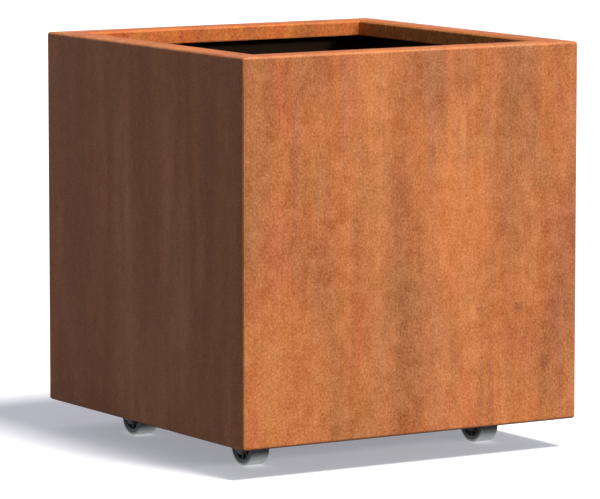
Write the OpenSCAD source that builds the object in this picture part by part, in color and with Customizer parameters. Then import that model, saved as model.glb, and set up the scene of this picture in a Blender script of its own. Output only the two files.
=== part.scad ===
// Rolling planter: a square box of folded weathering steel on four swivel castors.
// Millimetres. The origin is on the ground under the middle of the floor, +Z is up
// and the front faces -Y.

/* [Planter] */
// Width across the front
planter_w = 800; // [720:10:1100]
// Depth from front to back
planter_d = 800; // [720:10:1100]
// Height of the walls, from their lower edge to the top of the rim
wall_h = 780; // [500:10:900]
// Gap between the ground and the lower edge of the walls
ground_gap = 62; // [56:1:72]

/* [Folded sheet] */
// Thickness of the steel sheet
sheet_t = 3; // [2:0.5:4]
// Inside radius of every bend in the sheet
bend_r = 3; // [2:0.5:4]
// Width of the rim that is folded inwards
rim_w = 60; // [40:1:100]
// Height of the lip that is folded down from the rim
lip_h = 32; // [18:1:60]
// Width of the foot flange folded inwards at the lower edge
foot_w = 25; // [16:1:34]

/* [Floor tray] */
// Gap between the tray and the walls, closed by the welds
tray_gap = 0.2; // [0.1:0.1:0.6]
// Width of the notch at each corner of the tray
tray_notch = 16; // [12:1:40]
// Diameter of a drain hole
drain_d = 30; // [16:1:36]
// Distance of the outer drain holes from the middle, along both sides
drain_pitch = 170; // [164:2:196]

/* [Floor ribs] */
// Width of a rib
rib_w = 60; // [40:2:64]
// Depth of a rib below the tray
rib_h = 30; // [18:1:34]
// Distance of a rib's centre line from the middle
rib_offset = 110; // [80:2:112]

/* [Castor places] */
// Distance of a castor's pivot from the side of the planter
castor_inset_x = 122; // [118:1:136]
// Distance of a castor's pivot from the front or the back of the planter
castor_inset_y = 138; // [122:1:200]
// Margin of a mounting pad around the castor's plate
pad_margin = 14; // [8:1:18]
// Thickness of a mounting pad
pad_t = 4; // [3:0.5:8]

/* [Castor plate] */
// Width of the plate across the wheel
plate_w = 85; // [80:1:96]
// Length of the plate along the wheel
plate_l = 100; // [96:1:116]
// Thickness of the pressed plate
plate_t = 3; // [2.5:0.25:4]
// Corner radius of the plate
plate_corner_r = 8; // [4:1:12]
// Distance between the mounting bolts across the wheel
bolt_pitch_w = 60; // [58:1:64]
// Distance between the mounting bolts along the wheel
bolt_pitch_l = 80; // [78:1:84]
// Length that a mounting slot adds to its width
slot_travel = 4; // [0.5:0.5:6]
// Depth of the dish pressed into the middle of the plate
dish_depth = 8; // [7:0.25:9]
// Slope of the dish's side, outwards for each millimetre of height
dish_slope = 0.6; // [0.4:0.05:0.7]

/* [Castor swivel] */
// Radius of the upper ball row
upper_race_r = 22; // [21:0.5:23]
// Diameter of an upper ball
upper_ball_d = 6; // [5.5:0.25:6.5]
// Number of upper balls
upper_balls = 16; // [8:1:20]
// Radius of the lower ball row
lower_race_r = 17; // [16.5:0.5:18]
// Diameter of a lower ball
lower_ball_d = 5; // [4:0.25:5.5]
// Number of lower balls
lower_balls = 14; // [8:1:18]
// Depth of each ball groove
groove_depth = 0.7; // [0.4:0.1:0.9]
// Clearance between a ball and its groove
ball_gap = 0.1; // [0.05:0.05:0.2]
// Radius of the hole in the crown of the fork
crown_hole_r = 13; // [12.5:0.25:13.5]
// Clearance between the dish and the crown's hole
dish_gap = 0.8; // [0.4:0.1:1]
// Diameter of the kingpin
kingpin_d = 10; // [8:0.5:11]
// Width of the kingpin's heads beyond its shank
kingpin_ledge = 2.4; // [1.5:0.1:2.6]
// Height of each of the kingpin's heads
kingpin_head_h = 4; // [3:0.25:5]

/* [Castor fork] */
// Thickness of the fork's sheet
fork_t = 3; // [2.5:0.25:4]
// Inside radius of the fork's bends
fork_bend_r = 3; // [2:0.5:4]
// Distance of the wheel's axle behind the pivot
trail = 38; // [34:1:42]
// Width of the crown between its fold lines
crown_w = 64; // [62:1:68]
// Radius of the crown's round front and back
crown_r = 36; // [34:0.5:38]
// Drop from the crown to where the legs run straight down
shoulder_drop = 26; // [20:1:32]
// Drop from the crown to where the legs leave its round edge
collar_drop = 10; // [8:1:12]
// Width of a leg in front of the pivot, at the collar
leg_front = 20; // [16:1:24]
// Width of a leg behind the pivot, at the collar
leg_back = 24; // [18:1:26]
// Radius of a leg's end round the axle
leg_end_r = 14; // [10:1:15]

/* [Castor wheel] */
// Diameter of the wheel over the tyre
wheel_d = 80; // [75:1:88]
// Width of the tyre
tyre_w = 43; // [36:1:46]
// Thickness of the tyre
tyre_t = 8; // [7:0.5:10]
// Radius of the tyre's shoulders
shoulder_r = 2.5; // [2:0.5:5]
// Height of the castor's head above the wheel
head_h = 25; // [23:0.5:32]
// Gap between the tyre and each leg of the fork
leg_gap = 3; // [2.5:0.25:5]
// Gap between the tyre's side and the core's rim
rim_step = 1; // [0.5:0.25:2]
// Thickness of the core's rim
rim_t = 4.5; // [3:0.5:6]
// Height of the tongue that keys the tyre to the core
tongue_h = 1.5; // [0.5:0.25:2.5]
// Width of that tongue
tongue_w = 10; // [4:1:20]
// Thickness of the core's web and of its ribs
web_t = 6; // [3:0.5:8]
// Number of ribs on each side of the core
core_ribs = 8; // [4:1:12]
// Outside diameter of the hub
hub_d = 30; // [28:0.5:32]
// Gap between the hub's end and each leg of the fork
hub_gap = 2; // [1.75:0.25:2.5]

/* [Castor axle and bearing] */
// Outside diameter of the axle's sleeve
sleeve_d = 12; // [11:0.25:13]
// Diameter of a bearing roller
roller_d = 3.8; // [3:0.1:4.4]
// Number of bearing rollers
rollers = 8; // [6:1:9]
// Running clearance on each side of the rollers
roller_gap = 0.1; // [0.05:0.05:0.15]
// Thickness of a thread guard
guard_t = 1.5; // [1:0.1:1.6]
// Running clearance between a thread guard and the hub
guard_gap = 0.4; // [0.3:0.05:0.6]
// Reach of a thread guard's skirt over the hub
guard_reach = 3; // [1:0.5:5]

/* [Fasteners] */
// Thread diameter of the mounting bolts and the axle bolt
bolt_d = 8; // [6:0.5:8.5]
// Width across the flats of the bolts and nuts
hex_af = 13; // [12:0.5:13.5]
// Height of a bolt's hexagon
hex_h = 5.3; // [4:0.1:6]
// Diameter of a mounting bolt's flange
flange_d = 17; // [16:0.5:18]
// Thickness of a mounting bolt's flange
flange_t = 1.5; // [1:0.1:2]
// Height of a nut
nut_h = 6.5; // [5:0.1:7.5]
// Height of the locking collar on an axle nut
collar_h = 1.8; // [1:0.1:2.5]
// Length of thread that stands out of a nut
thread_out = 2; // [1:0.5:5]
// Play of a bolt in its hole
hole_play = 1; // [0.2:0.1:1.2]
// Play of a nut on its thread and of the sleeve on the axle
thread_play = 0.1; // [0.05:0.05:0.3]

/* [Hidden] */
$fn = 64;

// Each castor's name, side (-1 left, 1 right) and end (-1 front, 1 back)
CASTORS = [
    ["front_left", -1, -1],
    ["front_right", 1, -1],
    ["back_left", -1, 1],
    ["back_right", 1, 1]
];
CASTOR_PARTS = [
    "top_plate", "race_cup", "kingpin", "fork", "swivel_balls", "axle_bolt", "axle_nut",
    "axle_sleeve", "thread_guards", "wheel_core", "tyre", "roller_bearing"
];

// Flat steps in each bend of the fork's section
bend_steps = 8;

// Heights of the planter, from the ground up
outer_bend = bend_r + sheet_t;
rim_z = ground_gap + wall_h;
castor_h = wheel_d + head_h;
pad_top = castor_h + pad_t;
tray_top = pad_top + sheet_t;
tray_foot = ground_gap + outer_bend + tray_gap;

// The tray inside the walls
tray_w = planter_w - 2 * (sheet_t + tray_gap);
tray_d = planter_d - 2 * (sheet_t + tray_gap);
rib_l = tray_d - 2 * (outer_bend + tray_gap);

// The castor's head, from the top down: plate, upper balls, crown, lower balls, cup
plate_under = castor_h - plate_t;
crown_top = plate_under - upper_ball_d + 2 * groove_depth;
crown_under = crown_top - fork_t;
cup_top = crown_under - lower_ball_d + 2 * groove_depth;
cup_under = cup_top - plate_t;
dish_top = castor_h - dish_depth;
dish_under = dish_top - plate_t;
upper_ball_z = (plate_under + crown_top) / 2;
lower_ball_z = (crown_under + cup_top) / 2;

// Radii of the dish and of the cup, from the crown's hole between them
dish_r = crown_hole_r - dish_gap - dish_slope * (crown_top - dish_under);
dish_mouth_r = dish_r + dish_slope * (plate_under - dish_under);
side_w = plate_t * sqrt(1 + dish_slope * dish_slope);
kingpin_bore_r = kingpin_d / 2 + thread_play;
kingpin_head_r = kingpin_d / 2 + kingpin_ledge;
cup_floor_r = kingpin_head_r + ball_gap + plate_t / 2;
cup_step = dish_under - cup_top;
cup_r = lower_race_r + lower_ball_d / 2 + groove_depth;

// The fork's legs and the stack along the axle
leg_in = tyre_w / 2 + leg_gap;
leg_out = leg_in + fork_t;
leg_mid = (leg_in + leg_out) / 2;
hub_half = leg_in - hub_gap;
hub_r = hub_d / 2;
axle_z = wheel_d / 2;
axle_hole_r = bolt_d / 2 + thread_play;
bearing_r = sleeve_d / 2 + roller_gap + roller_d / 2;
hub_bore_r = bearing_r + roller_d / 2 + roller_gap;
core_r = wheel_d / 2 - tyre_t;
core_half = tyre_w / 2 - rim_step;
key_r = core_r + tongue_h;

// Sheets and folds

// A sector of a flat ring, from 0 to the angle
module ring_sector(inner, outer, angle) {
    reach = 2 * outer;
    spokes = [for (k = [0 : 4]) reach * direction(angle * k / 4)];
    intersection() {
        difference() {
            circle(r = outer);
            circle(r = inner);
        }
        polygon(concat([[0, 0]], spokes));
    }
}

// The turn from one heading to the next, between -180 and 180 degrees
function turn(from, to) = let (t = to - from) t > 180 ? t - 360 : t < -180 ? t + 360 : t;

function direction(angle) = [cos(angle), sin(angle)];

// The headings of a path's runs, and how far it turns at each of its points
function headings(path) = [
    for (i = [1 : len(path) - 1])
        let (run = path[i] - path[i - 1]) atan2(run.y, run.x)
];
function path_turns(heading) = concat(
    0, [for (i = [1 : len(heading) - 1]) turn(heading[i - 1], heading[i])], 0
);

// The section of a sheet of thickness t, folded square along the middle line of the path
module folded_section(path, t, inner) {
    mid_r = inner + t / 2;
    heading = headings(path);
    turns = path_turns(heading);
    for (i = [0 : len(heading) - 1]) {
        lost = mid_r * (sign(abs(turns[i])) + sign(abs(turns[i + 1])));
        translate(path[i])
            rotate(heading[i])
                translate([mid_r * sign(abs(turns[i])), -t / 2])
                    square([norm(path[i + 1] - path[i]) - lost, t]);
    }
    for (i = [1 : len(heading) - 1]) {
        translate(path[i])
            rotate(heading[i - 1])
                translate([-mid_r, sign(turns[i]) * mid_r])
                    rotate(turns[i] > 0 ? -90 : 0)
                        ring_sector(inner, inner + t, 90);
    }
}

// One edge of a sheet bent at any angles: side is 1 for its left and -1 for its right
function bent_edge(path, t, inner, side) =
    let (
        heading = headings(path),
        turns = path_turns(heading),
        mid_r = inner + t / 2,
        last = len(heading)
    )
    concat(
        [path[0] + side * t / 2 * direction(heading[0] + 90)],
        [
            for (i = [1 : last - 1], k = [0 : bend_steps])
                let (
                    way = sign(turns[i]),
                    setback = mid_r * tan(abs(turns[i]) / 2),
                    start = path[i] - setback * direction(heading[i - 1]),
                    centre = start + way * mid_r * direction(heading[i - 1] + 90),
                    at = heading[i - 1] + turns[i] * k / bend_steps - way * 90
                )
                centre + (mid_r - side * way * t / 2) * direction(at)
        ],
        [path[last] + side * t / 2 * direction(heading[last - 1] + 90)]
    );

// The section of a sheet of thickness t, bent at any angles along the path
module bent_section(path, t, inner) {
    left = bent_edge(path, t, inner, 1);
    right = bent_edge(path, t, inner, -1);
    polygon(concat(left, [for (i = [len(right) - 1 : -1 : 0]) right[i]]));
}

// Stands a section up: its x stays across and its y becomes the height
module stand_up(length) {
    rotate([90, 0, 0])
        linear_extrude(length, center = true)
            children();
}

module rounded_plate(size, corner, thickness) {
    linear_extrude(thickness) {
        square([size.x - 2 * corner, size.y], center = true);
        square([size.x, size.y - 2 * corner], center = true);
        for (x = [-1, 1], y = [-1, 1]) {
            translate([x * (size.x / 2 - corner), y * (size.y / 2 - corner)])
                circle(r = corner);
        }
    }
}

// Planter walls

// From the lip's edge over the rim and down the wall to the foot flange's edge
module wall_section() {
    half = sheet_t / 2;
    path = [
        [rim_w - half, rim_z - lip_h],
        [rim_w - half, rim_z - half],
        [half, rim_z - half],
        [half, ground_gap + half],
        [foot_w, ground_gap + half]
    ];
    folded_section(path, sheet_t, bend_r);
}

// Half of a rounded upright corner, with the ball-shaped corner of the rim
module corner_half() {
    rotate_extrude(angle = 45) {
        intersection() {
            translate([outer_bend, 0])
                mirror([1, 0])
                    wall_section();
            translate([0, ground_gap])
                square([outer_bend, wall_h]);
        }
    }
}

// One wall along X with its outer face on y = 0, mitred at both ends
module wall(length) {
    corner_x = length / 2 - outer_bend;
    deep = max(rim_w, foot_w) + sheet_t;
    mitre = [[-length / 2, 0], [length / 2, 0], [length / 2 - deep, deep], [deep - length / 2, deep]];
    color("peru") {
        intersection() {
            rotate(90)
                stand_up(2 * corner_x)
                    wall_section();
            translate([0, 0, ground_gap])
                linear_extrude(wall_h)
                    polygon(mitre);
        }
        for (end = [0, 1]) {
            mirror([end, 0, 0])
                translate([corner_x, outer_bend, 0])
                    rotate(-90)
                        corner_half();
        }
    }
}

// Floor

// The tray's section across one of its spans, with an edge folded down at each end
module tray_section(span) {
    half = sheet_t / 2;
    edge = span / 2 - half;
    path = [[edge, tray_foot], [edge, tray_top - half], [-edge, tray_top - half], [-edge, tray_foot]];
    folded_section(path, sheet_t, bend_r);
}

module at_castors() {
    for (castor = CASTORS) {
        at_castor(castor)
            children();
    }
}

// Puts a castor on its pivot, trailing towards the middle of the planter
module at_castor(castor) {
    translate([
        castor[1] * (planter_w / 2 - castor_inset_x),
        castor[2] * (planter_d / 2 - castor_inset_y),
        0
    ])
        rotate(castor[2] > 0 ? 180 : 0)
            children();
}

module at_mount_bolts() {
    for (x = [-1, 1], y = [-1, 1]) {
        translate([x * bolt_pitch_w / 2, y * bolt_pitch_l / 2, 0])
            children();
    }
}

module bolt_holes() {
    at_castors()
        at_mount_bolts()
            translate([0, 0, castor_h - sheet_t])
                cylinder(d = bolt_d + hole_play, h = pad_t + 3 * sheet_t);
}

module drain_holes() {
    places = concat([[0, 0]], [for (x = [-1, 1], y = [-1, 1]) drain_pitch * [x, y]]);
    for (place = places) {
        translate([place.x, place.y, pad_top - sheet_t])
            cylinder(d = drain_d, h = 3 * sheet_t);
    }
}

module base_tray() {
    color("sienna") {
        difference() {
            union() {
                stand_up(tray_d - 2 * tray_notch)
                    tray_section(tray_w);
                rotate(90)
                    stand_up(tray_w - 2 * tray_notch)
                        tray_section(tray_d);
            }
            bolt_holes();
            drain_holes();
        }
    }
}

// A folded channel under the tray, open upwards
module floor_rib(side) {
    half = sheet_t / 2;
    edge = rib_w / 2 - half;
    low = pad_top - rib_h + half;
    path = [[-edge, pad_top], [-edge, low], [edge, low], [edge, pad_top]];
    color("sienna") {
        translate([side * rib_offset, 0, 0])
            stand_up(rib_l)
                folded_section(path, sheet_t, bend_r);
    }
}

module mount_pads() {
    size = [plate_w, plate_l] + 2 * pad_margin * [1, 1];
    color("sienna") {
        difference() {
            at_castors()
                translate([0, 0, castor_h])
                    rounded_plate(size, plate_corner_r, pad_t);
            bolt_holes();
        }
    }
}

// Fasteners

module hexagon(height) {
    cylinder(d = hex_af / cos(30), h = height, $fn = 6);
}

// Flanged bolts pushed up through the castor's plate, the pad and the tray
module mount_bolts() {
    shank = tray_top + nut_h + thread_out - plate_under;
    color("silver") {
        at_castors()
            at_mount_bolts() {
                translate([0, 0, plate_under])
                    cylinder(d = bolt_d, h = shank);
                translate([0, 0, plate_under - flange_t])
                    cylinder(d = flange_d, h = flange_t);
                translate([0, 0, plate_under - flange_t - hex_h])
                    hexagon(hex_h);
            }
    }
}

module mount_nuts() {
    color("silver") {
        at_castors()
            at_mount_bolts()
                translate([0, 0, tray_top])
                    difference() {
                        hexagon(nut_h);
                        translate([0, 0, -1])
                            cylinder(d = bolt_d + thread_play, h = nut_h + 2);
                    }
    }
}

// Castor head, drawn about the pivot on Z

// The groove of a ball row, as a ring of round section
module ball_groove(race_r, z, ball_d) {
    rotate_extrude()
        translate([race_r, z])
            circle(d = ball_d + 2 * ball_gap);
}

module slot_cutter() {
    width = bolt_d + hole_play;
    linear_extrude(3 * plate_t, center = true) {
        square([slot_travel, width], center = true);
        for (x = [-1, 1]) {
            translate([x * slot_travel / 2, 0])
                circle(d = width);
        }
    }
}

// A pressed plate whose dish reaches down through the crown's hole
module top_plate() {
    dish = [
        [dish_mouth_r + plate_t, castor_h],
        [dish_mouth_r + dish_slope * plate_t - side_w, castor_h],
        [dish_r + dish_slope * plate_t - side_w, dish_top],
        [kingpin_bore_r, dish_top],
        [kingpin_bore_r, dish_under],
        [dish_r, dish_under],
        [dish_mouth_r, plate_under],
        [dish_mouth_r + plate_t, plate_under]
    ];
    color("lightsteelblue") {
        difference() {
            translate([0, 0, plate_under])
                rounded_plate([plate_w, plate_l], plate_corner_r, plate_t);
            translate([0, 0, plate_under - plate_t])
                cylinder(r = dish_mouth_r + plate_t / 2, h = 3 * plate_t);
            at_mount_bolts()
                translate([0, 0, castor_h - plate_t / 2])
                    slot_cutter();
            ball_groove(upper_race_r, upper_ball_z, upper_ball_d);
        }
        rotate_extrude()
            polygon(dish);
    }
}

// The pressed cup that carries the lower balls, riveted under the dish
module race_cup() {
    cup = [
        [kingpin_bore_r, dish_under],
        [cup_floor_r, dish_under],
        [cup_floor_r + cup_step, cup_top],
        [cup_r, cup_top],
        [cup_r, cup_under],
        [cup_floor_r + cup_step - plate_t / 2, cup_under],
        [cup_floor_r - plate_t / 2, dish_under - plate_t],
        [kingpin_bore_r, dish_under - plate_t]
    ];
    color("lightsteelblue") {
        difference() {
            rotate_extrude()
                polygon(cup);
            ball_groove(lower_race_r, lower_ball_z, lower_ball_d);
        }
    }
}

// A rivet through the dish and the cup, with a head on each side
module kingpin() {
    foot = dish_under - plate_t;
    color("silver") {
        translate([0, 0, foot - kingpin_head_h])
            cylinder(r = kingpin_head_r, h = kingpin_head_h);
        translate([0, 0, foot])
            cylinder(d = kingpin_d, h = dish_top - foot);
        translate([0, 0, dish_top])
            cylinder(r = kingpin_head_r, h = kingpin_head_h);
    }
}

module ball_row(race_r, z, ball_d, count) {
    for (i = [0 : count - 1]) {
        rotate(i * 360 / count)
            translate([race_r, 0, z])
                sphere(d = ball_d, $fn = 24);
    }
}

module swivel_balls() {
    color("gainsboro") {
        ball_row(upper_race_r, upper_ball_z, upper_ball_d, upper_balls);
        ball_row(lower_race_r, lower_ball_z, lower_ball_d, lower_balls);
    }
}

// Castor fork

// Where a line from point p touches a circle, on the side given by 1 or -1
function touch_point(p, centre, r, side) =
    let (d = p - centre, angle = atan2(d.y, d.x) + side * acos(r / norm(d)))
    centre + r * direction(angle);

// The fork's outline from the side: crown, tapered leg and round end
module fork_outline() {
    collar_z = crown_top - collar_drop;
    end = [trail, axle_z];
    front = [-leg_front, collar_z];
    back = [leg_back, collar_z];
    polygon([
        [-crown_r, crown_top],
        [-crown_r, collar_z],
        front,
        touch_point(front, end, leg_end_r, 1),
        end,
        touch_point(back, end, leg_end_r, -1),
        back,
        [crown_r, collar_z],
        [crown_r, crown_top]
    ]);
    translate(end)
        circle(r = leg_end_r);
}

// The fork's section from the front: crown, shoulders and two legs
module fork_section() {
    mid_z = crown_top - fork_t / 2;
    shoulder_z = crown_top - shoulder_drop;
    low = axle_z - leg_end_r - fork_t;
    path = [
        [leg_mid, low],
        [leg_mid, shoulder_z],
        [crown_w / 2, mid_z],
        [-crown_w / 2, mid_z],
        [-leg_mid, shoulder_z],
        [-leg_mid, low]
    ];
    bent_section(path, fork_t, fork_bend_r);
}

module fork() {
    collar_z = crown_top - collar_drop;
    color("lightsteelblue") {
        difference() {
            intersection() {
                stand_up(2 * (crown_r + trail + leg_end_r))
                    fork_section();
                rotate([90, 0, 90])
                    linear_extrude(2 * crown_w, center = true)
                        fork_outline();
                union() {
                    translate([0, 0, collar_z])
                        cylinder(r = crown_r, h = collar_drop + fork_t);
                    translate([-crown_w, -crown_w, 0])
                        cube([2 * crown_w, 2 * crown_w, collar_z]);
                }
            }
            translate([0, 0, crown_under - fork_t])
                cylinder(r = crown_hole_r, h = 3 * fork_t);
            ball_groove(upper_race_r, upper_ball_z, upper_ball_d);
            ball_groove(lower_race_r, lower_ball_z, lower_ball_d);
            on_axle()
                cylinder(r = axle_hole_r, h = 4 * leg_out, center = true);
        }
    }
}

// Axle and wheel, drawn about Z and laid along X at the wheel's centre

module on_axle() {
    translate([0, trail, axle_z])
        rotate([0, 90, 0])
            children();
}

// Runs a ring of the given section, [radius, distance along the axle], round the axle
module axle_ring(section) {
    on_axle()
        rotate_extrude()
            polygon(section);
}

module axle_bolt() {
    color("silver") {
        on_axle() {
            translate([0, 0, -leg_out])
                cylinder(d = bolt_d, h = 2 * leg_out + nut_h + thread_out);
            translate([0, 0, -leg_out - hex_h])
                hexagon(hex_h);
        }
    }
}

// A locking nut with a round collar
module axle_nut() {
    color("silver") {
        on_axle()
            translate([0, 0, leg_out])
                difference() {
                    union() {
                        hexagon(nut_h - collar_h);
                        translate([0, 0, nut_h - collar_h])
                            cylinder(d = hex_af - 1, h = collar_h);
                    }
                    translate([0, 0, -1])
                        cylinder(d = bolt_d + thread_play, h = nut_h + 2);
                }
    }
}

module axle_sleeve() {
    color("silver") {
        axle_ring([
            [axle_hole_r, -leg_in],
            [sleeve_d / 2, -leg_in],
            [sleeve_d / 2, leg_in],
            [axle_hole_r, leg_in]
        ]);
    }
}

// A cap over each end of the hub, held between the sleeve's shoulder and the leg
module thread_guards() {
    inside = sleeve_d / 2 + thread_play;
    skirt_r = hub_r + guard_gap;
    cap_z = hub_half + guard_gap;
    color("dimgray") {
        for (side = [-1, 1]) {
            axle_ring([
                [inside, side * leg_in],
                [skirt_r + guard_t, side * leg_in],
                [skirt_r + guard_t, side * (hub_half - guard_reach)],
                [skirt_r, side * (hub_half - guard_reach)],
                [skirt_r, side * cap_z],
                [inside, side * cap_z]
            ]);
        }
    }
}

// Hub, web and rim, stiffened by ribs on both sides
module wheel_core() {
    rim_in = core_r - rim_t;
    half_key = tongue_w / 2;
    half_web = web_t / 2;
    section = [
        [hub_bore_r, -hub_half], [hub_r, -hub_half], [hub_r, -half_web],
        [rim_in, -half_web], [rim_in, -core_half], [core_r, -core_half],
        [core_r, -half_key], [key_r, -half_key], [key_r, half_key], [core_r, half_key],
        [core_r, core_half], [rim_in, core_half], [rim_in, half_web],
        [hub_r, half_web], [hub_r, hub_half], [hub_bore_r, hub_half]
    ];
    rib_half = hub_half - guard_reach - 2 * guard_gap;
    color("dimgray") {
        axle_ring(section);
        on_axle()
            for (i = [0 : core_ribs - 1]) {
                rotate(i * 360 / core_ribs)
                    translate([hub_r - 1, -web_t / 4, -rib_half])
                        cube([rim_in - hub_r + 2, web_t / 2, 2 * rib_half]);
            }
    }
}

module tyre() {
    outer = wheel_d / 2;
    half = tyre_w / 2;
    color("gray") {
        on_axle()
            rotate_extrude() {
                difference() {
                    union() {
                        translate([core_r, -half])
                            square([tyre_t - shoulder_r, tyre_w]);
                        translate([core_r, shoulder_r - half])
                            square([tyre_t, tyre_w - 2 * shoulder_r]);
                        for (side = [-1, 1]) {
                            translate([outer - shoulder_r, side * (half - shoulder_r)])
                                circle(r = shoulder_r);
                        }
                    }
                    translate([0, -tongue_w / 2])
                        square([key_r, tongue_w]);
                }
            }
    }
}

// Rollers in a cage, between the sleeve and the hub's bore
module roller_bearing() {
    cage_end = hub_half - guard_gap;
    roller_half = cage_end - guard_t - roller_gap;
    bar_r = roller_d / 5;
    ring_in = bearing_r - roller_d / 3;
    ring_out = bearing_r + roller_d / 3;
    color("gold") {
        on_axle()
            for (i = [0 : rollers - 1]) {
                rotate(i * 360 / rollers)
                    translate([bearing_r, 0, 0])
                        cylinder(d = roller_d, h = 2 * roller_half, center = true);
                rotate((i + 0.5) * 360 / rollers)
                    translate([bearing_r, 0, 0])
                        cylinder(r = bar_r, h = 2 * cage_end - guard_t, center = true);
            }
        for (side = [-1, 1]) {
            axle_ring([
                [ring_in, side * (cage_end - guard_t)],
                [ring_out, side * (cage_end - guard_t)],
                [ring_out, side * cage_end],
                [ring_in, side * cage_end]
            ]);
        }
    }
}

// Assembly

translate([0, -planter_d / 2, 0]) wall(planter_w);  // wall_front
translate([0, planter_d / 2, 0]) rotate(180) wall(planter_w);  // wall_back
translate([-planter_w / 2, 0, 0]) rotate(-90) wall(planter_d);  // wall_left
translate([planter_w / 2, 0, 0]) rotate(90) wall(planter_d);  // wall_right
base_tray();
floor_rib(-1);  // floor_rib_left
floor_rib(1);  // floor_rib_right
mount_pads();
mount_bolts();
mount_nuts();
for (castor = CASTORS) {
    at_castor(castor) {
        top_plate();
        race_cup();
        kingpin();
        fork();
        swivel_balls();
        axle_bolt();
        axle_nut();
        axle_sleeve();
        thread_guards();
        wheel_core();
        tyre();
        roller_bearing();
    }
}
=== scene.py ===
import math

import bpy
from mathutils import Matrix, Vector


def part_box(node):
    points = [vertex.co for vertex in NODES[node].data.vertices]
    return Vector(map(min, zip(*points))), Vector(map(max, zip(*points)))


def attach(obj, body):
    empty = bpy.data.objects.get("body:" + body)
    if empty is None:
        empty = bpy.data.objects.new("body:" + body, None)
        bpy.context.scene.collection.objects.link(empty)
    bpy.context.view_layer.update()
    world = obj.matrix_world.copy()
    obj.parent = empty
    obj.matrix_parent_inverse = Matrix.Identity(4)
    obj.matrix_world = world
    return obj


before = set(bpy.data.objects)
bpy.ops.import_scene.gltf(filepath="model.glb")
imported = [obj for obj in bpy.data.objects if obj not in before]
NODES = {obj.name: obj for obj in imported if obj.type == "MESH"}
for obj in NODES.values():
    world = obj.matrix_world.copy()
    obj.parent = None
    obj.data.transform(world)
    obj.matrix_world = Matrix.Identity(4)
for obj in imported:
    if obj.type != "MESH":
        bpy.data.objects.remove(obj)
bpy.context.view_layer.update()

# The rolling planter's finishes, welds and threads. Metres, in the model's own frame:
# the origin is on the ground under the middle of the floor, +Z is up, the front faces -Y.

CASTORS = ("front_left", "front_right", "back_left", "back_right")

# The view, from a fit to the corners of the walls and the rim; angles in degrees
CAMERA_PLACE = (-4.9511, -7.9707, 1.5472)
CAMERA_AZIMUTH = 31.734
CAMERA_DROP = 6.989
CAMERA_LENS = 272.085
CAMERA_REACH = 200
SENSOR_WIDTH = 36.0

# The light, from the shading of the faces and the shadow's edges; angles in degrees
KEY_LIGHT = {"azimuth": 15.8, "height": 63.1, "spread": 14.5, "strength": 3.8}
FRONT_LIGHT = {"azimuth": 12.0, "height": 15.5, "spread": 7.0, "strength": 1.27}
LIGHT_COLOUR = (1.0, 0.985, 0.96)
FILL_COLOUR = (0.60, 0.95, 1.40, 1)
FILL_STRENGTH = 0.040
WHITE = (1, 1, 1, 1)

# The floor as the camera sees it, with its glow under a closed and under an open sky, and how
# far off a thing can be that closes the sky
FLOOR_SIZE = 60.0
FLOOR_COLOUR = (0.76, 0.76, 0.78, 1)
GLOW_COLOUR = (0.91, 0.91, 1.0, 1)
GLOW_CLOSED, GLOW_OPEN = 0.338, 0.525
SKY_REACH = 1.2

# What the floor gives back to the object, and its glow on what is close: all of it nearer than the
# first distance, none past the second
FLOOR_BOUNCE = 0.015
FLOOR_NEAR, FLOOR_FAR = 0.018, 0.034
NEAR_GLOW = 0.62

# Sizes of the planter, read off the frame
WALL_LOW, WALL_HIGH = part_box("wall_front")
HALF_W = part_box("wall_right")[1][0]
HALF_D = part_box("wall_back")[1][1]
RIM_Z = WALL_HIGH[2]
FOOT_Z = WALL_LOW[2]
TRAY_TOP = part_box("base_tray")[1][2]
TYRE_LOW, TYRE_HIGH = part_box("tyre_back_right")
WHEEL_R = (TYRE_HIGH[2] - TYRE_LOW[2]) / 2
WHEEL_Y = (TYRE_HIGH[1] + TYRE_LOW[1]) / 2

# Sizes that no box gives, the same as in the CAD, and the pitch of an M8 thread
SHEET_T = 0.003
LIP_Z = RIM_Z - 0.032
HOLE_X, HOLE_Y = 0.030, 0.040
SHANK_R = 0.004
THREAD_PITCH = 0.00125

# How far from the axle the dirt on a tyre's side reaches
DIRT_R = 0.035

# Marks on the front wall: middle x and z, half width and height, strength
PALE_STAINS = (
    (-0.31, 0.19, 0.13, 0.20, 0.34),
    (0.115, 0.49, 0.085, 0.20, 0.50),
)
OLIVE_STAINS = (
    (-0.055, 0.38, 0.090, 0.40, 0.22),
    (0.245, 0.60, 0.050, 0.24, 0.42),
    (-0.37, 0.66, 0.045, 0.20, 0.42),
    (-0.005, 0.16, 0.040, 0.08, 0.30),
)
DARK_STAINS = (
    (0.385, 0.38, 0.045, 0.20, 0.55),
    (0.045, 0.79, 0.110, 0.11, 0.50),
    (0.23, 0.76, 0.080, 0.10, 0.30),
    (0.30, 0.20, 0.100, 0.14, 0.25),
    (-0.25, 0.78, 0.060, 0.10, 0.35),
)
KNOCKS = (
    (0.162, 0.306, 0.015, 0.006, 0.30),
    (0.255, 0.304, 0.015, 0.011, 0.30),
    (0.320, 0.189, 0.015, 0.012, 0.22),
    (0.120, 0.270, 0.020, 0.002, 0.28),
    (0.180, 0.246, 0.012, 0.002, 0.28),
)

# A shift in the renderer's red, green and blue that looks even on rust, for one unit of red
SHIFT_RATIO = (1.0, 0.53, 0.29)

# The ripples of a weld bead: their distance and thickness along it, in radii, and their sizes
RIPPLE_STEP = 0.62
RIPPLE_THICKNESS = 0.62
RIPPLE_SIZES = (0.86, 1.10)


def linear(red, green, blue):
    """A colour given as screen values from 0 to 255, in the renderer's linear terms."""
    def channel(v):
        v = v / 255
        return v / 12.92 if v <= 0.04045 else ((v + 0.055) / 1.055) ** 2.4
    return (channel(red), channel(green), channel(blue), 1.0)


# ------------------------------------------------------------------ node trees

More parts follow.
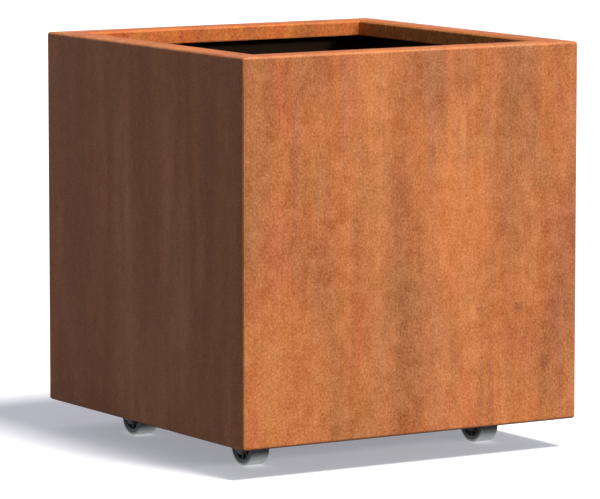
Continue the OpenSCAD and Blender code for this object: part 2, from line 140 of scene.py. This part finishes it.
class Field:
    """A number that varies over a surface: arithmetic on it adds Math nodes."""

    def __init__(self, nodes, socket):
        self.nodes = nodes
        self.socket = socket

    def __add__(self, other):
        return self.nodes.math("ADD", self, other)

    __radd__ = __add__

    def __sub__(self, other):
        return self.nodes.math("SUBTRACT", self, other)

    def __rsub__(self, other):
        return self.nodes.math("SUBTRACT", other, self)

    def __mul__(self, other):
        return self.nodes.math("MULTIPLY", self, other)

    def __truediv__(self, other):
        return self.nodes.math("DIVIDE", self, other)

    def __pow__(self, other):
        return self.nodes.math("POWER", self, other)

    def __abs__(self):
        return self.nodes.math("ABSOLUTE", self)

    def least(self, other):
        return self.nodes.math("MINIMUM", self, other)

    def most(self, other):
        return self.nodes.math("MAXIMUM", self, other)

    def between(self, none, full):
        """0 on the one value's side, 1 on the other's, with a smooth change between the two."""
        node = self.nodes.node(
            "ShaderNodeMapRange",
            {"interpolation_type": "SMOOTHSTEP", "clamp": True},
            {"Value": self, "From Min": none, "From Max": full},
        )
        return Field(self.nodes, node.outputs["Result"])


class Nodes:
    """The node tree of a material, of the sky or of a shape, under construction."""

    def __init__(self, tree):
        self.tree = tree

    def node(self, kind, settings=None, inputs=None):
        """Adds a node, makes its settings, then fills its sockets with values or links."""
        node = self.tree.nodes.new(kind)
        for key, value in (settings or {}).items():
            if key == "stops":
                self.fill_ramp(node.color_ramp, value)
            else:
                setattr(node, key, value)
        for key, value in (inputs or {}).items():
            socket = node.inputs[key]
            if isinstance(value, Field):
                value = value.socket
            if isinstance(value, bpy.types.NodeSocket):
                self.tree.links.new(value, socket)
            else:
                socket.default_value = value
        return node

    @staticmethod
    def fill_ramp(ramp, stops):
        while len(ramp.elements) > 1:
            ramp.elements.remove(ramp.elements[-1])
        ramp.elements[0].position, ramp.elements[0].color = stops[0]
        for position, colour in stops[1:]:
            ramp.elements.new(position).color = colour

    def math(self, operation, *values):
        node = self.node("ShaderNodeMath", {"operation": operation}, dict(enumerate(values)))
        return Field(self, node.outputs[0])

    def seen(self, path):
        """1 for what the camera sees, also in a mirror or through glass, 0 for light on the object."""
        kinds = ("Is Camera Ray", "Is Glossy Ray", "Is Transmission Ray")
        straight, mirrored, through = (Field(self, path.outputs[kind]) for kind in kinds)
        return straight.most(mirrored).most(through)


class Finish(Nodes):
    """A material under construction."""

    def __init__(self, name):
        self.material = bpy.data.materials.new(name)
        self.material.use_nodes = True
        super().__init__(self.material.node_tree)
        self.tree.nodes.clear()
        self.place = self.node("ShaderNodeTexCoord").outputs["Object"]

    def stretched(self, x=1.0, y=1.0, z=1.0, shift=(0.0, 0.0, 0.0)):
        """The object's coordinates, scaled along each axis and shifted."""
        return self.node(
            "ShaderNodeMapping", {}, {"Vector": self.place, "Scale": (x, y, z), "Location": shift}
        ).outputs[0]

    def noise(self, scale, detail=3.0, rough=0.55, vector=None, warp=0.0):
        node = self.node("ShaderNodeTexNoise", {}, {
            "Vector": self.place if vector is None else vector,
            "Scale": scale, "Detail": detail, "Roughness": rough, "Distortion": warp,
        })
        return Field(self, node.outputs["Fac"])

    def cells(self, scale):
        """The distance from the middle of the nearest of many scattered cells."""
        node = self.node("ShaderNodeTexVoronoi", {}, {"Vector": self.place, "Scale": scale})
        return Field(self, node.outputs["Distance"])

    def axes(self, vector=None):
        node = self.node("ShaderNodeSeparateXYZ", {}, {0: self.place if vector is None else vector})
        return [Field(self, out) for out in node.outputs]

    def facing(self):
        """The outward normal's parts, along the object's axes."""
        return self.axes(self.node("ShaderNodeNewGeometry").outputs["Normal"])

    def ramp(self, factor, *stops):
        return self.node("ShaderNodeValToRGB", {"stops": stops}, {"Fac": factor}).outputs["Color"]

    def blend(self, factor, first, second, how="MIX"):
        """Two colours mixed; the node keeps its colours in sockets 6 and 7 and output 2."""
        node = self.node(
            "ShaderNodeMix", {"data_type": "RGBA", "blend_type": how},
            {0: factor, 6: first, 7: second},
        )
        return node.outputs[2]

    def bump(self, height, distance, strength=1.0, under=None):
        inputs = {"Height": height, "Distance": distance, "Strength": strength}
        if under is not None:
            inputs["Normal"] = under
        return self.node("ShaderNodeBump", {}, inputs).outputs["Normal"]

    def surface(self, **inputs):
        """Closes the material with a Principled surface."""
        named = {key.replace("_", " "): value for key, value in inputs.items()}
        shader = self.node("ShaderNodeBsdfPrincipled", {}, named)
        self.node("ShaderNodeOutputMaterial", {}, {"Surface": shader.outputs[0]})
        return self.material


def faces(part, way=1):
    """1 on faces that look along an axis, given the normal's part on it, or against it with way -1."""
    return part.between(0.5 * way, 0.9 * way)


# ------------------------------------------------------------------- materials

def shifted(amount):
    """A grey middle moved by an amount, for a blend that adds twice the distance from the middle."""
    return tuple(0.5 + amount * part for part in SHIFT_RATIO) + (1.0,)


def rust_pattern(finish):
    """The patina's parts: clouds, columns, runs and lanes down the wall, mottling, grain and specks."""
    return {
        "clouds": finish.noise(4.2, 3.0, 0.5, finish.stretched(1, 1, 0.6, (3.1, 1.7, 0.4)), warp=0.4),
        "columns": finish.noise(8.0, 4.0, 0.55, finish.stretched(1, 1, 0.11, (0.3, 5.2, 1.9)), warp=0.3),
        "runs": finish.noise(26.0, 4.0, 0.6, finish.stretched(1, 1, 0.10, (7.7, 2.1, 3.3)), warp=0.15),
        "lanes": finish.noise(13.0, 5.0, 0.62, finish.stretched(1, 1, 0.045, (1.4, 4.8, 6.1)), warp=0.1),
        "mottle": finish.noise(34.0, 5.0, 0.72, finish.stretched(1, 1, 0.8, (9.3, 0.6, 4.4)), warp=0.4),
        "grain": finish.noise(210.0, 3.0, 0.75),
        "specks": finish.noise(620.0, 1.0, 0.5),
    }


def rust_colour(finish, parts, fine, faces_left):
    """Rust from dark to light, with redder and more olive clouds and fine upright streaks."""
    tone = parts["clouds"] * 0.30 + parts["columns"] * 0.40 + parts["runs"] * 0.16 + parts["mottle"] * 0.14
    colour = finish.ramp(
        tone,
        (0.32, linear(154, 82, 37)),
        (0.42, linear(174, 97, 45)),
        (0.50, linear(190, 109, 52)),
        (0.58, linear(203, 119, 59)),
        (0.68, linear(218, 133, 69)),
    )
    # Redder and more olive clouds over the tone, fainter on faces that look to the left
    tinge = 1 - faces_left * 0.75
    hue = finish.noise(11.0, 4.0, 0.62, finish.stretched(1, 1, 0.38, (5.5, 8.1, 2.2)), warp=0.5)
    colour = finish.blend(hue.between(0.50, 0.66) * tinge * 0.42, colour, linear(192, 92, 52))
    colour = finish.blend(hue.between(0.48, 0.34) * tinge * 0.34, colour, linear(166, 114, 62))

    # Fine upright streaks, some brighter orange and some greyer
    stretch = (parts["clouds"].between(0.36, 0.62) * 0.7 + 0.3) * tinge
    colour = finish.blend(fine.between(0.53, 0.66) * stretch * 0.34, colour, linear(226, 128, 54))
    return finish.blend(fine.between(0.47, 0.34) * stretch * 0.30, colour, linear(164, 100, 78))


def mark_front(finish, colour, parts, x, z, on_front):
    """Pale, olive and dark stains and small dark knocks on the front wall, with ragged edges."""
    stain_edge = (parts["clouds"] - 0.5) * 2.0 + (parts["runs"] - 0.5) * 2.0
    knock_edge = (parts["grain"] - 0.5) * 4.0
    for marks, edge, (none, full), tint in (
        (PALE_STAINS, stain_edge, (1.3, 0.1), linear(222, 130, 64)),
        (OLIVE_STAINS, stain_edge, (1.3, 0.1), linear(172, 110, 58)),
        (DARK_STAINS, stain_edge, (1.3, 0.1), linear(158, 90, 50)),
        (KNOCKS, knock_edge, (1.2, 0.3), linear(112, 74, 54)),
    ):
        for mark_x, mark_z, half_w, half_h, strength in marks:
            across, up = (x - mark_x) / half_w, (z - mark_z) / half_h
            reach = across ** 2.0 + up ** 2.0 + edge
            colour = finish.blend(on_front * reach.between(none, full) * strength, colour, tint)
    return colour


def weathering_steel():
    """Orange-brown rust on the outside, a dark inside that is soil and painted shade, and brighter folds
    that are wear and painted highlight.
    """
    finish = Finish("weathering_steel")
    x, y, z = finish.axes()
    nx, ny, nz = finish.facing()
    faces_left = faces(nx, -1)
    on_front = faces(ny, -1) * y.between(0.02 - HALF_D, 0.01 - HALF_D)
    inward = (HALF_W - abs(x)).least(HALF_D - abs(y))

    parts = rust_pattern(finish)
    mottle, grain, specks = parts["mottle"], parts["grain"], parts["specks"]
    fine = finish.noise(75.0, 3.0, 0.6, finish.stretched(1, 1, 0.03, (6.2, 3.9, 0.8)), warp=0.1)
    colour = rust_colour(finish, parts, fine, faces_left)

    # Dark and pale lanes between runs of water, plainest on the right and faintest on the left
    plain = 0.22 - faces_left * 0.12 + faces(nx) * 0.28
    dark_lane, pale_lane = parts["lanes"].between(0.50, 0.43), parts["lanes"].between(0.51, 0.60)
    colour = finish.blend(dark_lane * plain, colour, (0.64, 0.62, 0.59, 1), "MULTIPLY")
    colour = finish.blend(pale_lane * plain * 0.6, colour, linear(216, 150, 110))

    # Faces that look to the left stand in the shade and are painted a greyer, bluer brown: a painted shade
    # tint
    colour = finish.blend(faces_left, colour, (0.89, 1.02, 1.34, 1), "MULTIPLY")
    colour = mark_front(finish, colour, parts, x, z, on_front)

    # Mottling and grain shift all three screen levels alike
    for field, amount in ((mottle, 0.052), (grain, 0.095)):
        shift = finish.ramp(field, (0.25, shifted(-amount)), (0.75, shifted(amount)))
        colour = finish.blend(1.0, colour, shift, "LINEAR_LIGHT")
    pits = specks.between(0.36, 0.27) * mottle.between(0.48, 0.62)
    colour = finish.blend(pits * 0.45, colour, linear(104, 60, 40))

    # Groups of dark flecks
    group = finish.noise(6.0, 2.0, 0.5, finish.stretched(1, 1, 1, (4.4, 0.2, 7.0))).between(0.52, 0.64)
    flecks = finish.cells(120.0).between(0.16, 0.06) * group
    colour = finish.blend(flecks * 0.40, colour, linear(104, 70, 54))

    # Folds are a little brighter: partly rubbed wear, partly a painted highlight along the bends
    fold = abs(nx).most(abs(ny)).most(abs(nz)).between(0.995, 0.90)
    colour = finish.blend(fold * 0.30, colour, linear(232, 150, 98))

    # The rim's upward faces are painted a darker, deeper brown: painted shade that tones down the light
    # from above
    rim = nz.between(0.6, 0.95) * z.between(RIM_Z - 0.004, RIM_Z - 0.001)
    colour = finish.blend(rim, colour, (0.90, 0.81, 0.53, 1), "MULTIPLY")

    # The rim's inner half and the lip are a warmer orange, and the lip is lighter. The two side lips are
    # painted lighter still: painted light for the side lip that stands in shade
    warm = inward.between(0.02, 0.03)
    lip = warm * z.between(RIM_Z - 0.001, RIM_Z - 0.005)
    side_lip = warm * faces(abs(nx))
    colour = finish.blend(warm, colour, (0.90, 0.73, 0.36, 1), "MULTIPLY")
    colour = finish.blend(lip, colour, (1.15, 1.10, 1.00, 1), "MULTIPLY")
    colour = finish.blend(side_lip, colour, (1.40, 1.72, 1.92, 1), "MULTIPLY")

    # Inside below the lip the sheet is dark brown: partly soil stain, partly painted shade for the dim
    # inside
    within = inward.between(SHEET_T / 2 - 0.0004, SHEET_T / 2 + 0.0004)
    soil_and_shade = within * z.between(LIP_Z + 0.004, LIP_Z - 0.004)
    colour = finish.blend(soil_and_shade, colour, linear(54, 36, 22))

    # The lowest few millimetres of the walls, round the lower bend, are darker
    foot = z.between(FOOT_Z + 0.006, FOOT_Z)
    colour = finish.blend(foot * 0.6, colour, linear(84, 52, 38))

    # In the shade a change of colour hardly shows, so the broken streaks on faces that look to the
    # left are a faint metallic sheen. The side lips have some too, which lightens the shaded lip, and the
    # dark inside has more, which takes the pale veil off it as painted shade.
    breaks = finish.noise(17.0, 4.0, 0.65, finish.stretched(1, 1, 0.22, (2.7, 6.6, 8.3)), warp=0.6)
    streaks = parts["runs"] * 0.32 + breaks * 0.28 + fine * 0.16 + grain * 0.24
    sheen = streaks.between(0.455, 0.565) * faces_left * 0.075 + side_lip * 0.09 + soil_and_shade * 0.6

    smooth = grain.between(0.4, 0.7) * 0.08 + parts["columns"].between(0.5, 0.7) * 0.05
    normal = finish.bump(grain * 0.6 + specks * 0.4, 0.0006, 0.45)
    return finish.surface(
        Base_Color=colour, Roughness=0.74 - smooth + soil_and_shade * 0.2, Metallic=sheen,
        Specular_IOR_Level=0.53, Normal=finish.bump(mottle, 0.003, 0.12, normal),
    )


def floor_steel():
    """The same rust, darker, on the tray, its ribs and the pads."""
    finish = Finish("weathering_steel_inner")
    parts = rust_pattern(finish)
    patches, grain, specks = parts["mottle"], parts["grain"], parts["specks"]
    tone = parts["clouds"] * 0.5 + patches * 0.5
    colour = finish.ramp(
        tone.between(0.34, 0.66),
        (0.0, linear(58, 38, 28)),
        (0.5, linear(94, 58, 38)),
        (1.0, linear(128, 78, 48)),
    )
    # The tray's upper face is stained by soil
    z, nz = finish.axes()[2], finish.facing()[2]
    top = faces(nz) * z.between(TRAY_TOP - 0.001, TRAY_TOP)
    colour = finish.blend(top * 0.85, colour, linear(44, 30, 23))
    colour = finish.blend(grain.between(0.5, 0.3) * 0.5, colour, linear(40, 25, 18))
    return finish.surface(
        Base_Color=colour, Roughness=0.9 - patches * 0.1, Metallic=0.0, Specular_IOR_Level=0.25,
        Normal=finish.bump(grain * 0.6 + specks * 0.4, 0.0006, 0.6),
    )


def weld_metal():
    """Rusted weld beads, with small lighter places."""
    finish = Finish("weld_metal")
    grain = finish.noise(420.0, 3.0, 0.6)
    blotch = finish.noise(60.0, 2.0, 0.5)
    colour = finish.ramp(
        grain * 0.6 + blotch * 0.4,
        (0.30, linear(52, 34, 26)),
        (0.52, linear(86, 55, 39)),
        (0.75, linear(124, 80, 54)),
    )
    return finish.surface(
        Base_Color=colour, Roughness=0.7 - grain * 0.1, Specular_IOR_Level=0.35,
        Normal=finish.bump(grain, 0.0005, 0.6),
    )


def pressed_steel():
    """Zinc plate over pressed sheet: soft spangle, drawing marks and dust."""
    finish = Finish("pressed_zinc_steel")
    z, nx = finish.axes()[2], finish.facing()[0]
    spangle = finish.cells(190.0)
    cloud = finish.noise(45.0, 3.0, 0.55)
    scratch = finish.noise(900.0, 2.0, 0.6, finish.stretched(1.0, 1.0, 0.04))
    colour = finish.ramp(
        spangle * 0.35 + cloud * 0.65,
        (0.20, linear(72, 76, 79)),
        (0.50, linear(94, 98, 101)),
        (0.85, linear(118, 121, 123)),
    )
    # Faces that don't look to the sides, such as the fork's sheared edges, are painted brighter: a painted
    # highlight
    edge = abs(nx).between(0.80, 0.40)
    colour = finish.blend(edge * 0.6, colour, linear(168, 170, 171))
    # Dust gathers towards the ground
    dust = cloud.between(0.45, 0.75) * z.between(0.10, 0.02)
    colour = finish.blend(dust * 0.45, colour, linear(96, 88, 80))
    return finish.surface(
        Base_Color=colour, Roughness=0.48 + cloud * 0.22 + dust * 0.25, Metallic=0.55 - dust * 0.35,
        Normal=finish.bump(scratch, 0.0002, 0.35),
    )


def zinc_fasteners():
    """Bright zinc with a few brown places."""
    finish = Finish("zinc_fasteners")
    cloud = finish.noise(160.0, 3.0, 0.6)
    turned = finish.noise(1500.0, 1.0, 0.5)
    colour = finish.ramp(
        cloud,
        (0.25, linear(142, 142, 138)),
        (0.55, linear(182, 182, 178)),
        (0.80, linear(204, 204, 202)),
    )
    colour = finish.blend(cloud.between(0.62, 0.74) * 0.35, colour, linear(138, 92, 60))
    return finish.surface(
        Base_Color=colour, Roughness=0.32 + cloud * 0.2, Metallic=0.85,
        Normal=finish.bump(turned, 0.0001, 0.3),
    )


def bearing_steel():
    """Ground steel with a thin smear of grease."""
    finish = Finish("bearing_steel")
    smear = finish.noise(240.0, 2.0, 0.5)
    colour = finish.ramp(smear, (0.3, linear(150, 148, 142)), (0.7, linear(196, 196, 194)))
    return finish.surface(
        Base_Color=colour, Roughness=0.20 + smear * 0.2, Metallic=0.95,
        Normal=finish.bump(smear, 0.0001, 0.2),
    )


def dark_plastic():
    """Moulded nylon with a fine grain and a little dust."""
    finish = Finish("dark_plastic")
    cloud = finish.noise(70.0, 3.0, 0.5)
    skin = finish.noise(1600.0, 2.0, 0.6)
    colour = finish.ramp(cloud, (0.30, linear(134, 134, 132)), (0.70, linear(160, 160, 157)))
    dust = cloud.between(0.50, 0.78)
    colour = finish.blend(dust * 0.30, colour, linear(110, 104, 96))
    return finish.surface(
        Base_Color=colour, Roughness=0.58 + cloud * 0.2, Specular_IOR_Level=0.95,
        Normal=finish.bump(skin, 0.00015, 0.4),
    )


def grey_rubber():
    """Grey tyre rubber: a dusty tread, and sides painted paler as painted light, dirty next to the wheel's
    core.
    """
    finish = Finish("grey_rubber")
    y, z = finish.axes()[1:]
    radius = ((abs(y) - WHEEL_Y) ** 2.0 + (z - WHEEL_R) ** 2.0) ** 0.5
    cloud = finish.noise(38.0, 3.0, 0.6)
    skin = finish.noise(1300.0, 2.0, 0.6)
    colour = finish.ramp(
        cloud,
        (0.28, linear(178, 182, 183)),
        (0.52, linear(190, 194, 195)),
        (0.78, linear(200, 203, 203)),
    )
    dust = finish.noise(120.0, 4.0, 0.65).between(0.48, 0.72)
    colour = finish.blend(dust * 0.35, colour, linear(168, 164, 156))
    # The sides are painted paler: painted light for the light they catch from the side
    side = abs(finish.facing()[0]).between(0.7, 0.95)
    dirt = side * radius.between(DIRT_R + 0.0006, DIRT_R - 0.0006)
    colour = finish.blend(side * 0.5, colour, linear(222, 224, 224))
    colour = finish.blend(dirt * 0.75, colour, linear(72, 70, 66))
    return finish.surface(
        Base_Color=colour, Roughness=0.46 + cloud * 0.15, Specular_IOR_Level=0.5,
        Normal=finish.bump(skin, 0.0002, 0.35),
    )


def dress(names, material):
    """Gives pieces of the CAD their material."""
    for name in names:
        mesh = NODES[name].data
        mesh.materials.clear()
        mesh.materials.append(material)


# ------------------------------------------------------------------ small parts

class Tree(Nodes):
    """A geometry tree under construction."""

    def __init__(self, name):
        super().__init__(bpy.data.node_groups.new(name, "GeometryNodeTree"))
        self.tree.interface.new_socket("Geometry", in_out="OUTPUT", socket_type="NodeSocketGeometry")
        self.inlet = self.node("NodeGroupInput")
        self.outlet = self.node("NodeGroupOutput")

    def size(self, name, kind="NodeSocketFloat"):
        """A named input of the tree."""
        self.tree.interface.new_socket(name, in_out="INPUT", socket_type=kind)
        return self.inlet.outputs[name]

    def close(self, geometry):
        """Ends the tree: instances made real, material set."""
        material = self.size("Material", "NodeSocketMaterial")
        real = self.node("GeometryNodeRealizeInstances", {}, {0: geometry})
        painted = self.node(
            "GeometryNodeSetMaterial", {}, {"Geometry": real.outputs[0], "Material": material}
        )
        self.tree.links.new(painted.outputs[0], self.outlet.inputs[0])
        return self.tree

    @staticmethod
    def grow(group, base, **values):
        """Runs a tree on a mesh and returns the result as a plain mesh."""
        carrier = bpy.data.objects.new("carrier", base)
        bpy.context.scene.collection.objects.link(carrier)
        modifier = carrier.modifiers.new("tree", "NODES")
        modifier.node_group = group
        for item in group.interface.items_tree:
            key = item.name.lower().replace(" ", "_")
            if item.in_out == "INPUT" and key in values:
                modifier[item.identifier] = values[key]
        bpy.context.view_layer.update()
        evaluated = carrier.evaluated_get(bpy.context.evaluated_depsgraph_get())
        mesh = bpy.data.meshes.new_from_object(evaluated)
        carrier.modifiers.remove(modifier)
        bpy.data.objects.remove(carrier)
        return mesh


def add_piece(name, mesh, material, body):
    """Links a finished mesh as a piece that rides on a body."""
    mesh.materials.clear()
    mesh.materials.append(material)
    piece = bpy.data.objects.new(name, mesh)
    bpy.context.scene.collection.objects.link(piece)
    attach(piece, body)


def plain_mesh(name, points, edges=()):
    mesh = bpy.data.meshes.new(name)
    mesh.from_pydata(points, edges, [])
    return mesh


def seams_mesh(name, seams):
    """A mesh of separate straight edges, each from one point to another."""
    points = [point for seam in seams for point in seam]
    return plain_mesh(name, points, [(2 * i, 2 * i + 1) for i in range(len(seams))])


def weld_tree():
    """Overlapping ripples along every edge of the mesh."""
    tree = Tree("weld_bead")
    seams = tree.size("Seam", "NodeSocketGeometry")
    radius = tree.size("Radius")
    step = tree.size("Ripple")
    seed = tree.size("Seed", "NodeSocketInt")
    curve = tree.node("GeometryNodeMeshToCurve", {}, {"Mesh": seams})
    points = tree.node(
        "GeometryNodeCurveToPoints", {"mode": "LENGTH"}, {"Curve": curve.outputs[0], "Length": step}
    )
    ripple = tree.node("GeometryNodeMeshUVSphere", {}, {"Segments": 8, "Rings": 6, "Radius": radius})
    # Sockets 2 and 3 and output 1 of this node are the ones for plain numbers
    wobble = tree.node(
        "FunctionNodeRandomValue", {"data_type": "FLOAT"},
        {2: RIPPLE_SIZES[0], 3: RIPPLE_SIZES[1], "Seed": seed},
    ).outputs[1]
    shape = tree.node("ShaderNodeCombineXYZ", {}, {0: wobble, 1: wobble, 2: RIPPLE_THICKNESS})
    placed = tree.node("GeometryNodeInstanceOnPoints", {}, {
        "Points": points.outputs["Points"], "Instance": ripple.outputs["Mesh"],
        "Rotation": points.outputs["Rotation"], "Scale": shape.outputs[0],
    })
    return tree.close(placed.outputs[0])


def stitches(start, end, bead, gap):
    """Short seams of one length, spread evenly along a line."""
    start, end = Vector(start), Vector(end)
    length = (end - start).length
    count = max(1, round((length + gap) / (bead + gap)))
    pitch = length / count
    along = (end - start) / length
    return [
        (start + along * (pitch * (i + 0.5) - bead / 2), start + along * (pitch * (i + 0.5) + bead / 2))
        for i in range(count)
    ]


def inner_corner_seams():
    """Full seams down the four inner corners, from the lip to the tray."""
    off, margin = 0.0012, 0.002
    corner_x, corner_y = HALF_W - (SHEET_T + off), HALF_D - (SHEET_T + off)
    return [
        ((sx * corner_x, sy * corner_y, TRAY_TOP + margin), (sx * corner_x, sy * corner_y, LIP_Z - margin))
        for sx in (-1, 1) for sy in (-1, 1)
    ]


def tray_seams():
    """Stitch welds between the tray and the four walls, seen from above."""
    off, down, margin, bead, gap = 0.001, 0.0025, 0.045, 0.05, 0.10
    edge_x, edge_y = HALF_W - SHEET_T - off, HALF_D - SHEET_T - off
    z = TRAY_TOP - down
    seams = []
    for side in (-1, 1):
        for start, end in (
            ((margin - edge_x, side * edge_y, z), (edge_x - margin, side * edge_y, z)),
            ((side * edge_x, margin - edge_y, z), (side * edge_x, edge_y - margin, z)),
        ):
            seams += stitches(start, end, bead, gap)
    return seams


def rib_seams():
    """Stitch welds along both sides of each rib, under the tray."""
    off, margin, bead, gap = 0.0008, 0.02, 0.035, 0.085
    seams = []
    for name in ("floor_rib_left", "floor_rib_right"):
        low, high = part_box(name)
        z = high[2] - off
        for x in (low[0] - off, high[0] + off):
            seams += stitches((x, low[1] + margin, z), (x, high[1] - margin, z), bead, gap)
    return seams


def pad_seams():
    """Two stitches on each side of every mounting pad."""
    off, margin, bead = 0.0008, 0.015, 0.028
    gap_along_x, gap_along_y = 0.025, 0.030
    plate_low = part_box("top_plate_front_left")[0]
    pads_low, pads_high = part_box("mount_pads")
    border_x, border_y = plate_low[0] - pads_low[0], plate_low[1] - pads_low[1]
    z = pads_high[2] - off
    seams = []
    for castor in CASTORS:
        low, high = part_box(f"top_plate_{castor}")
        x0, x1 = low[0] - border_x, high[0] + border_x
        y0, y1 = low[1] - border_y, high[1] + border_y
        for y in (y0 - off, y1 + off):
            seams += stitches((x0 + margin, y, z), (x1 - margin, y, z), bead, gap_along_x)
        for x in (x0 - off, x1 + off):
            seams += stitches((x, y0 + margin, z), (x, y1 - margin, z), bead, gap_along_y)
    return seams


def add_welds(material):
    group = weld_tree()
    for name, seams, radius, seed in (
        ("corner_welds", inner_corner_seams(), 0.0028, 3),
        ("tray_welds", tray_seams(), 0.0030, 5),
        ("rib_welds", rib_seams(), 0.0026, 8),
        ("pad_welds", pad_seams(), 0.0026, 13),
    ):
        mesh = Tree.grow(
            group, seams_mesh(name, seams),
            radius=radius, ripple=radius * RIPPLE_STEP, seed=seed, material=material,
        )
        add_piece(name, mesh, material, "planter")


def thread_tree():
    """A thread's ridge wound round every point, rising along Z."""
    tree = Tree("thread")
    ends = tree.size("Ends", "NodeSocketGeometry")
    radius = tree.size("Radius")
    rise = tree.size("Rise")
    turns = tree.size("Turns")
    ridge = tree.size("Ridge")
    winding = tree.node("GeometryNodeCurveSpiral", {}, {
        "Resolution": 20, "Rotations": turns,
        "Start Radius": radius, "End Radius": radius, "Height": rise,
    })
    section = tree.node(
        "GeometryNodeCurvePrimitiveCircle", {"mode": "RADIUS"}, {"Resolution": 4, "Radius": ridge}
    )
    wound = tree.node("GeometryNodeCurveToMesh", {}, {
        "Curve": winding.outputs[0], "Profile Curve": section.outputs[0], "Fill Caps": True,
    })
    placed = tree.node(
        "GeometryNodeInstanceOnPoints", {}, {"Points": ends, "Instance": wound.outputs[0]}
    )
    return tree.close(placed.outputs[0])


def add_threads(material):
    """Threads on the ends of the mounting bolts that stand out of the nuts."""
    ridge = 0.00045
    nuts_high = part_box("mount_nuts")[1][2]
    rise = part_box("mount_bolts")[1][2] - nuts_high - ridge
    ends = []
    for castor in CASTORS:
        low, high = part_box(f"top_plate_{castor}")
        cx, cy = (low[0] + high[0]) / 2, (low[1] + high[1]) / 2
        ends += [(cx + sx * HOLE_X, cy + sy * HOLE_Y, nuts_high) for sx in (-1, 1) for sy in (-1, 1)]
    mesh = Tree.grow(
        thread_tree(), plain_mesh("bolt_threads", ends), radius=SHANK_R - ridge * 0.2, rise=rise,
        turns=rise / THREAD_PITCH, ridge=ridge, material=material,
    )
    add_piece("bolt_threads", mesh, material, "planter")


# ----------------------------------------------------------- floor, light, view

def add_floor():
    """A plain floor, white to the camera and dim to the object, which keeps the shadow."""
    finish = Finish("floor")
    path = finish.node("ShaderNodeLightPath")

    # The shadow is lighter where more of the sky is open above it
    shown = finish.node("ShaderNodeBsdfDiffuse", {}, {"Color": FLOOR_COLOUR})
    sky = finish.node("ShaderNodeAmbientOcclusion", {"samples": 16}, {"Distance": SKY_REACH})
    strength = GLOW_CLOSED + Field(finish, sky.outputs["AO"]) * (GLOW_OPEN - GLOW_CLOSED)
    glow = finish.node("ShaderNodeEmission", {}, {"Color": GLOW_COLOUR, "Strength": strength})
    bright = finish.node("ShaderNodeAddShader", {}, {0: shown.outputs[0], 1: glow.outputs[0]})

    # What stands close to the floor gets the light that a white floor gives
    dim = finish.node("ShaderNodeBsdfDiffuse", {}, {"Color": (FLOOR_BOUNCE, FLOOR_BOUNCE, FLOOR_BOUNCE, 1)})
    near = Field(finish, path.outputs["Ray Length"]).between(FLOOR_FAR, FLOOR_NEAR)
    lit = finish.node("ShaderNodeEmission", {}, {"Color": WHITE, "Strength": NEAR_GLOW})
    bounce = finish.node("ShaderNodeMixShader", {}, {0: near, 1: dim.outputs[0], 2: lit.outputs[0]})

    both = {0: finish.seen(path), 1: bounce.outputs[0], 2: bright.outputs[0]}
    mixed = finish.node("ShaderNodeMixShader", {}, both)
    finish.node("ShaderNodeOutputMaterial", {}, {"Surface": mixed.outputs[0]})
    half = FLOOR_SIZE / 2
    mesh = bpy.data.meshes.new("floor")
    corners = [(-half, -half, 0), (half, -half, 0), (half, half, 0), (-half, half, 0)]
    mesh.from_pydata(corners, [], [(0, 1, 2, 3)])
    mesh.materials.append(finish.material)
    floor = bpy.data.objects.new("floor", mesh)
    bpy.context.scene.collection.objects.link(floor)


def add_sky():
    """White where it is seen, and an even soft fill on the object."""
    world = bpy.data.worlds.new("studio")
    world.use_nodes = True
    bpy.context.scene.world = world
    sky = Nodes(world.node_tree)
    sky.tree.nodes.clear()
    fill = sky.node("ShaderNodeBackground", {}, {"Color": FILL_COLOUR, "Strength": FILL_STRENGTH})
    white = sky.node("ShaderNodeBackground", {}, {"Color": WHITE, "Strength": 1.0})
    both = {0: sky.seen(sky.node("ShaderNodeLightPath")), 1: fill.outputs[0], 2: white.outputs[0]}
    mixed = sky.node("ShaderNodeMixShader", {}, both)
    sky.node("ShaderNodeOutputWorld", {}, {"Surface": mixed.outputs[0]})


def add_sun(name, azimuth, height, spread, strength):
    """A soft light from far off; its azimuth is counted from -Y towards +X."""
    lamp = bpy.data.lights.new(name, "SUN")
    lamp.energy = strength
    lamp.angle = math.radians(spread)
    lamp.color = LIGHT_COLOUR
    sun = bpy.data.objects.new(name, lamp)
    sun.rotation_euler = (math.radians(90 - height), 0, math.radians(azimuth))
    bpy.context.scene.collection.objects.link(sun)


def add_camera():
    lens = bpy.data.cameras.new("camera")
    lens.sensor_fit = "HORIZONTAL"
    lens.sensor_width = SENSOR_WIDTH
    lens.lens = CAMERA_LENS
    lens.clip_end = CAMERA_REACH
    camera = bpy.data.objects.new("camera", lens)
    camera.location = CAMERA_PLACE
    camera.rotation_euler = (math.radians(90 - CAMERA_DROP), 0, math.radians(-CAMERA_AZIMUTH))
    bpy.context.scene.collection.objects.link(camera)
    bpy.context.scene.camera = camera


# -------------------------------------------------------------------- assembly

bpy.context.scene.view_settings.view_transform = "Standard"
add_camera()
add_floor()
add_sky()
add_sun("key", **KEY_LIGHT)
add_sun("front", **FRONT_LIGHT)

outer_steel = weathering_steel()
inner_steel = floor_steel()
welds = weld_metal()
pressed = pressed_steel()
zinc = zinc_fasteners()
ground = bearing_steel()
plastic = dark_plastic()
rubber = grey_rubber()

dress(["wall_front", "wall_back", "wall_left", "wall_right"], outer_steel)
dress(["base_tray", "floor_rib_left", "floor_rib_right", "mount_pads"], inner_steel)
dress(["mount_bolts", "mount_nuts"], zinc)
for part, material in (
    ("top_plate", pressed), ("race_cup", pressed), ("kingpin", pressed), ("fork", pressed),
    ("swivel_balls", ground), ("axle_bolt", zinc), ("axle_nut", zinc), ("axle_sleeve", ground),
    ("thread_guards", plastic), ("wheel_core", plastic), ("tyre", rubber), ("roller_bearing", ground),
):
    dress([f"{part}_{castor}" for castor in CASTORS], material)
add_welds(welds)
add_threads(zinc)
